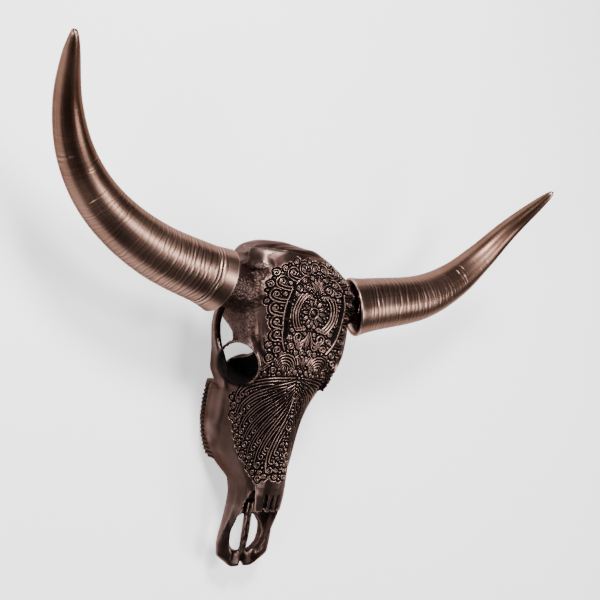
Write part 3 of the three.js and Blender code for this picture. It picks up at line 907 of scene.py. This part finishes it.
# %% Horns
HORN_ROUTE = [(142, 159, 131), (247.5, 184, 136), (322.4, 222.9, 140.5),
              (373.9, 273, 155.5), (408.9, 331.4, 191.6), (434, 394, 259)]
HORN_GIRTH, HORN_TAPER, HORN_SLIM, TIP_GIRTH = 44.6, 0.524, 0.196, 1.6
SHEATH_WALL, SHEATH_FLARE, FLARE_LENGTH, SHEATH_CLEAR, HOLLOW_TAPER = 4, 3, 0.03, 1.4, 3
CORE_NECK, CORE_WAIST, CORE_END = {"right": 39.5, "left": 35}, 35, 0.5
MOUTH = {"right": 0.0, "left": -0.045}
SLANT, SLANT_LENGTH = {"right": 0.0, "left": 0.07}, 0.25
HORN_LENGTH = 442
ROUND = 112
TURN_ROUND = 6.3


def horn_line(t):
    """The middle line at shares of its length, carried on straight before its start."""
    p = np.array(HORN_ROUTE, float)
    p = np.concatenate(([2 * p[0] - p[1]], p, [2 * p[-1] - p[-2]]))
    along = np.clip(t, 0, 1) * (len(HORN_ROUTE) - 1)
    k = np.minimum(along.astype(int), len(HORN_ROUTE) - 2)
    u = (along - k)[:, None]
    a, b, c, d = p[k], p[k + 1], p[k + 2], p[k + 3]
    place = between(u, a, b, c, d)
    ahead = 0.5 * ((c - a) + 2 * (2 * a - 5 * b + 4 * c - d) * u + 3 * (3 * b - a - 3 * c + d) * u ** 2)
    ahead /= np.linalg.norm(ahead, axis=1)[:, None]
    return place + np.minimum(t, 0)[:, None] * HORN_LENGTH * ahead, ahead


def horn_girth(t, mouth):
    """The outside's radius, thickest at the mouth's rim."""
    share = np.clip(t, 0, 1)
    girth = HORN_GIRTH * (1 - share) ** HORN_TAPER * (1 - HORN_SLIM * share) + TIP_GIRTH * share
    return girth + SHEATH_FLARE * np.exp(-(((t - mouth) / FLARE_LENGTH) ** 2))


def hollow_girth(name, t):
    """The inside's radius, clear of the horn core."""
    inside = np.maximum(t, 0) / CORE_END
    neck = CORE_NECK[name] + (CORE_WAIST - CORE_NECK[name]) * np.minimum(inside * 2, 1)
    core = neck * np.sqrt(np.maximum(1 - inside ** 3, 0.06)) * (1 - 0.25 * inside)
    rim = (horn_girth(t, MOUTH[name]) - SHEATH_WALL) * (1 - HOLLOW_TAPER * np.maximum(t - MOUTH[name], 0))
    return np.maximum(core + SHEATH_CLEAR, rim)


print("the right mouth is", round(2 * float(horn_girth(0.0, 0.0)), 1), "mm across")


# %% Rings and chips
FIRST_RING, LAST_RING = 16.0, 250


def rings(rng, t, angle, mouth):
    """Depth of the growth rings in millimetres; each groove runs only part of the way round."""
    depth = np.zeros(np.broadcast(t, angle).shape)
    along = (t - mouth) * HORN_LENGTH
    place = FIRST_RING
    while place < LAST_RING:
        fade = 1 - float(smooth_step(120, LAST_RING, place))
        wobble = rng.uniform(0.3, 1.6) * np.sin(angle * rng.integers(1, 4) + rng.uniform(0, TURN_ROUND))
        wobble = wobble + 0.5 * np.sin(angle * rng.integers(5, 11) + rng.uniform(0, TURN_ROUND))
        window = 0.5 + 0.5 * np.cos(angle - rng.uniform(0, TURN_ROUND))
        strength = fade * rng.uniform(0.15, 0.5) * (0.35 + 0.65 * window ** rng.uniform(0.3, 1.6))
        off = along - place - wobble
        depth -= strength * np.exp(-((off / rng.uniform(0.6, 1.0)) ** 2))
        depth += 0.4 * strength * np.exp(-(((off - 2.2) / 1.6) ** 2))
        place += rng.uniform(2.6, 6.4) * (1 + place / 260)
    return depth


def cracks(rng, t, angle, mouth):
    """A few short chips across the horn beyond the rings."""
    depth = np.zeros(np.broadcast(t, angle).shape)
    along = (t - mouth) * HORN_LENGTH
    for _ in range(16):
        place, middle, spread = rng.uniform(150, 290), rng.uniform(0, TURN_ROUND), rng.uniform(0.12, 0.5)
        off = np.angle(np.exp(1j * (angle - middle)))
        across = np.exp(-((along - place + 2 * off) / 0.9) ** 2)
        depth -= rng.uniform(0.3, 0.8) * np.exp(-(off / spread) ** 2) * across
    return depth


print("rings lie between", FIRST_RING, "and", LAST_RING, "mm from the mouth")


# %% Rows of a sheath


def sheath_rows(name):
    """Place along the line, girth and kind for each row, from the hollow's end to the tip."""
    mouth = MOUTH[name]
    inner = np.linspace(CORE_END, mouth + 0.006, 44)
    inner_girth = hollow_girth(name, inner) * np.sqrt(np.clip((CORE_END - inner) / 0.02, 0, 1))
    lip = np.linspace(0, math.pi, 9)
    half = (horn_girth(mouth, mouth) - hollow_girth(name, np.array([mouth]))[0]) / 2
    lip_place = mouth + (half / HORN_LENGTH) * (1 - np.sin(lip))
    lip_girth = hollow_girth(name, np.array([mouth]))[0] + half * (1 - np.cos(lip))
    end = 1 - TIP_GIRTH / HORN_LENGTH
    outer = np.concatenate((np.arange(mouth + 0.006, 0.56, 0.0017), np.linspace(0.56, end, 110)))
    cap = np.linspace(0, math.pi / 2, 6)[1:]
    place = np.concatenate((inner, lip_place, outer, end + TIP_GIRTH / HORN_LENGTH * np.sin(cap)))
    girth = np.concatenate((inner_girth, lip_girth, horn_girth(outer, mouth), TIP_GIRTH * np.cos(cap)))
    outside = (np.zeros(len(inner)), np.linspace(0, 1, len(lip)), np.ones(len(outer) + len(cap)))
    return place, girth, np.concatenate(outside)


print("the right sheath has", len(sheath_rows("right")[0]), "rows of", ROUND, "points")


# %% Roll the sheaths
GROOVES = (20.5, 24.5)
RIDGE_ANGLE = 2.3


def relief_on(name, seed, t, angle):
    """Rings and chips for both horns; the right one also has two deep grooves and a plain band."""
    rng = np.random.default_rng(seed)
    depth = rings(rng, t, angle, MOUTH[name]) + cracks(rng, t, angle, MOUTH[name])
    if name == "right":
        along = (t - MOUTH[name]) * HORN_LENGTH
        for groove in GROOVES:
            depth -= 1.5 * np.exp(-((along - groove - np.sin(angle)) / 0.85) ** 2)
        depth += 0.5 * np.exp(-((along - 1.5) / 1.6) ** 2)
        depth *= np.where(along < FIRST_RING, 0.5, 1)
    from_ridge = np.angle(np.exp(1j * (angle - RIDGE_ANGLE)))
    return depth + 0.7 * np.exp(-((from_ridge / 0.16) ** 2)) * smooth_step(0.45, 0.6, t)


def horn_sheath(name, side, seed):
    """Rolls a grid round the horn's line and closes its seams."""
    place, girth, outside = sheath_rows(name)
    rows = len(place) - 1
    bpy.ops.object.select_all(action="DESELECT")
    bpy.ops.mesh.primitive_grid_add(x_subdivisions=ROUND, y_subdivisions=rows, size=1, calc_uvs=True)
    horn = bpy.context.object
    horn.name = f"sheath_{name}"
    flat = points(horn)
    row = np.round((flat[:, 1] + 0.5) * rows).astype(int)
    angle = (flat[:, 0] + 0.5) * 2 * math.pi
    t, radius, out = place[row], girth[row], outside[row]
    near_mouth = np.clip(1 - (t - MOUTH[name]) / SLANT_LENGTH, 0, 1)
    middle, ahead = horn_line(t - SLANT[name] * (0.5 + 0.5 * np.cos(angle)) * near_mouth)
    across = np.cross(ahead, (0, 0, 1))
    across /= np.linalg.norm(across, axis=1)[:, None]
    above = np.cross(across, ahead)
    depth = relief_on(name, seed, t, angle) * out * smooth_step(1.0, 0.93, t)
    reach = np.maximum(radius + depth, 0)
    co = middle + reach[:, None] * (np.sin(angle)[:, None] * across + np.cos(angle)[:, None] * above)
    move_points(horn, (co * (side, 1, 1) + DRAWING_ZERO) / 1000)
    pick(horn)
    bpy.ops.object.mode_set(mode="EDIT")
    bpy.ops.mesh.select_all(action="SELECT")
    bpy.ops.mesh.remove_doubles(threshold=2e-6)
    bpy.ops.mesh.normals_make_consistent(inside=False)
    bpy.ops.object.mode_set(mode="OBJECT")
    bpy.ops.object.shade_smooth()
    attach(horn, "root")
    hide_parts(f"horn_sheath_{name}")
    keep(horn, "wear", proud(horn, 6, 0.5))
    horn.data.calc_loop_triangles()
    print(f"{horn.name}: {len(horn.data.loop_triangles)} triangles")
    return horn


sheaths = [horn_sheath("right", -1, 7), horn_sheath("left", 1, 12)]


# %% [markdown]
# ## Shader maths as sums
# A material here is a sum of noise and of the notes stored on the points. Wiring Math nodes by hand
# hides that, so a socket is wrapped in a small class, and a sum of sockets adds its nodes.

# %% Wires


class Wire:
    """An output socket that can be used in sums."""

    def __init__(self, finish, socket):
        self.finish, self.socket = finish, socket

    def math(self, operation, a, b, **settings):
        return self.finish.node("ShaderNodeMath", {"operation": operation, **settings}, {0: a, 1: b})

    def __add__(self, other):
        return self.math("ADD", self, other)

    def __sub__(self, other):
        return self.math("SUBTRACT", self, other)

    def __rsub__(self, other):
        return self.math("SUBTRACT", other, self)

    def __mul__(self, other):
        return self.math("MULTIPLY", self, other)

    __radd__, __rmul__ = __add__, __mul__

    def clamped(self):
        return self.math("ADD", self, 0.0, use_clamp=True)

    def over(self, low, high):
        """0 below low, 1 above high and smooth between."""
        sockets = {"Value": self, "From Min": low, "From Max": high}
        return self.finish.node("ShaderNodeMapRange", {"interpolation_type": "SMOOTHSTEP"}, sockets)


class Finish:
    """One material that is being built."""

    def __init__(self, name):
        self.material = bpy.data.materials.new(name)
        self.material.use_nodes = True
        self.tree = self.material.node_tree
        self.shader = self.tree.nodes["Principled BSDF"]

    def plug(self, socket, value):
        if isinstance(value, Wire):
            self.tree.links.new(value.socket, socket)
        else:
            socket.default_value = value

    def node(self, kind, settings=None, sockets=None, output=0):
        """Adds a node; its settings are set first, then the values or links of its sockets."""
        made = self.tree.nodes.new(kind)
        for key, value in (settings or {}).items():
            setattr(made, key, value)
        for key, value in (sockets or {}).items():
            self.plug(made.inputs[key], value)
        return Wire(self, made.outputs[output])

    def note(self, name):
        """A number that is stored on the points."""
        return self.node("ShaderNodeAttribute", {"attribute_name": name}, output="Fac")

    def here(self):
        """The place on the piece, in metres."""
        return self.node("ShaderNodeTexCoord", output="Object")

    def noise(self, scale, detail=3.0, vector=None):
        sockets = {"Vector": vector or self.here(), "Scale": scale, "Detail": detail}
        return self.node("ShaderNodeTexNoise", {"noise_dimensions": "3D"}, sockets)

    def cells(self, scale):
        sockets = {"Vector": self.here(), "Scale": scale}
        return self.node("ShaderNodeTexVoronoi", {"feature": "F1"}, sockets)

    def blend(self, factor, a, b):
        """A mix of two colours."""
        tint = [(*color, 1) if isinstance(color, tuple) else color for color in (a, b)]
        return self.node("ShaderNodeMix", {"data_type": "RGBA"}, {0: factor, 6: tint[0], 7: tint[1]}, 2)

    def bump(self, height, strength, distance):
        sockets = {"Height": height, "Strength": strength, "Distance": distance}
        return self.node("ShaderNodeBump", None, sockets)

    def done(self, **sockets):
        for key, value in sockets.items():
            self.plug(self.shader.inputs[key.replace("_", " ")], value)
        return self.material


# %% [markdown]
# ## Copper coat on bone
# The real piece was coated with metal all over, blackened, and rubbed back. So the coat is bright
# copper where it stands proud, brown on broad faces and nearly black in every recess. Broad hollows
# and the insides of the eye sockets and of the nose are painted dark as well, as painted shade. The
# same recipe does for smooth and carved bone, because the notes on the points tell it where the
# carving is. The smooth bone was left a little darker.

# %% Bone finish
BLACK, UMBER, BROWN = (0.004, 0.003, 0.003), (0.05, 0.028, 0.023), (0.085, 0.05, 0.043)
ROSE, BRIGHT = (0.15, 0.094, 0.085), (0.29, 0.182, 0.152)
COAT = (UMBER, BROWN, ROSE, BRIGHT)
EDGE_TINT = (0.5, 0.45, 0.44, 1)


def bone_finish(name, tone, grain):
    """The coat on bone; tone scales all its colours, and grain is how rough the bone under it feels."""
    f = Finish(name)
    umber, brown, rose, bright = [tuple(tone * part for part in color) for color in COAT]
    mottle = f.noise(26.0, 5.0)
    fine = f.noise(420.0, 4.0)
    stain = f.noise(9.0, 4.0)
    relief, wear, form, deep, peened = (f.note(n) for n in ("relief", "wear", "form", "deep", "peened"))
    base = f.blend(mottle.over(0.32, 0.7), umber, brown)
    base = f.blend((form * 0.9 + stain * 0.8 - 0.4).over(0.0, 0.8), base, rose)
    rubbed = (wear * 0.8 + fine * 0.5 - 0.3).over(0.15, 0.9)
    base = f.blend(rubbed, base, bright)
    recess = (0.0 - relief * 1.2 - wear * 0.5 + (fine - 0.5) * 0.3).over(0.22, 0.72)
    pits = (0.0 - wear * 0.9).over(0.15, 0.9) * peened
    # Painted shade: broad hollows of the bone are darkened, as shade would darken them.
    hollow = (0.0 - form).over(0.35, 1.0) * 0.75
    # The black holds the patina of recesses and dents, and the painted shade of hollows, sockets and nose.
    black = (recess + pits + hollow + deep).clamped()
    base = f.blend(black, base, BLACK)
    rough = (0.34 + (mottle - 0.5) * 0.22 + black * 0.4 - rubbed * 0.08 + peened * 0.1).clamped()
    height = fine * 0.35 + f.noise(1100.0, 2.0) * 0.25 + f.cells(300.0) * (peened * 0.8 + 0.12)
    bump = f.bump(height, grain, 0.0006)
    return f.done(Base_Color=base, Metallic=1.0 - black * 0.3, Roughness=rough, Normal=bump,
                  Specular_Tint=EDGE_TINT, Specular_IOR_Level=0.2)


coated = bone_finish("copper_coated_bone", tone=0.54, grain=0.35)
carved = bone_finish("copper_carved_bone", tone=0.78, grain=0.25)
for name, bone in bones.items():
    bone.data.materials.clear()
    bone.data.materials.append(carved if name.startswith(("frontal", "nasal")) else coated)
print("each bone coat has", len(coated.node_tree.nodes), "nodes")

# %% [markdown]
# ## Copper coat on horn
# Horn is denser than bone and was polished before coating, so it is warmer and more even. Long fibres
# run along it and fine rings across; both follow the map that came with the grid.

# %% Horn finish
HORN_DARK, HORN_LIGHT, HORN_FIBRE = (0.078, 0.039, 0.027), (0.13, 0.07, 0.05), (0.175, 0.098, 0.072)
ALONG, ACROSS_HORN = (90.0, 5.0, 1.0), (5.0, 260.0, 1.0)


def horn_finish():
    """The coat on horn, with its fibres and rings drawn out along the grid's map."""
    f = Finish("copper_coated_horn")
    surface = f.node("ShaderNodeTexCoord", output="UV")
    fibres = f.noise(1.0, 4.0, f.node("ShaderNodeMapping", None, {"Vector": surface, "Scale": ALONG}))
    lines = f.noise(1.0, 3.0, f.node("ShaderNodeMapping", None, {"Vector": surface, "Scale": ACROSS_HORN}))
    mottle = f.noise(14.0, 5.0)
    fine = f.noise(500.0, 3.0)
    wear = f.note("wear")
    base = f.blend(mottle.over(0.3, 0.72), HORN_DARK, HORN_LIGHT)
    base = f.blend(fibres.over(0.5, 0.8) * 0.5, base, HORN_FIBRE)
    base = f.blend((wear + lines * 0.35).over(0.25, 0.9), base, BRIGHT)
    dark = (0.0 - wear + (lines - 0.5) * 0.5).over(0.15, 0.8)
    base = f.blend(dark * 0.92, base, BLACK)
    rough = (0.33 + (mottle - 0.5) * 0.2 + dark * 0.35 + (fibres - 0.5) * 0.1).clamped()
    bump = f.bump(fibres * 0.4 + lines * 0.5 + fine * 0.15, 0.25, 0.0008)
    return f.done(Base_Color=base, Metallic=1.0 - dark * 0.3, Roughness=rough, Normal=bump,
                  Specular_Tint=EDGE_TINT, Specular_IOR_Level=0.2)


horn_coat = horn_finish()
for horn in sheaths:
    horn.data.materials.clear()
    horn.data.materials.append(horn_coat)
print("the horn coat has", len(horn_coat.node_tree.nodes), "nodes")

# %% [markdown]
# ## A pale floor and soft light
# The main lamp stands behind the poll, a little to the skull's right. A weaker one shines in from the
# right side, one fills the shadows from the left and one hangs overhead. The floor glows a little, as
# white paper does under strong light, and a pale world does the rest.

# %% Floor and light
bpy.ops.mesh.primitive_plane_add(size=12, location=(0, 0, 0))
floor = bpy.context.object
floor.name = "floor"
paper = Finish("pale_floor")
tone = paper.blend(paper.noise(3.0, 2.0), (0.9, 0.9, 0.9), (0.93, 0.93, 0.93))
glow = paper.done(Base_Color=tone, Roughness=0.9, Emission_Color=tone, Emission_Strength=0.85)
floor.data.materials.append(glow)


def area_light(name, place, aim, size, power):
    """A round soft lamp, its size in metres and its power in watts."""
    data = bpy.data.lights.new(name, "AREA")
    data.shape = "DISK"
    data.size = size
    data.energy = power
    lamp = bpy.data.objects.new(name, data)
    bpy.context.collection.objects.link(lamp)
    direction = Vector(aim) - Vector(place)
    lamp.matrix_world = Matrix.Translation(place) @ direction.to_track_quat("-Z", "Y").to_matrix().to_4x4()


area_light("key", (-0.55, 1.35, 1.6), (0, 0.05, 0.1), 0.5, 75)
area_light("side", (-1.9, -0.4, 1.3), (0, 0, 0.1), 0.6, 25)
area_light("fill", (1.5, -0.5, 1.8), (0, 0, 0.1), 0.9, 35)
area_light("overhead", (0.5, 0.4, 2.6), (0, 0, 0), 0.9, 60)
world = bpy.data.worlds.new("studio")
bpy.context.scene.world = world
world.use_nodes = True
world.node_tree.nodes["Background"].inputs["Color"].default_value = (1, 1, 1, 1)
world.node_tree.nodes["Background"].inputs["Strength"].default_value = 0.08
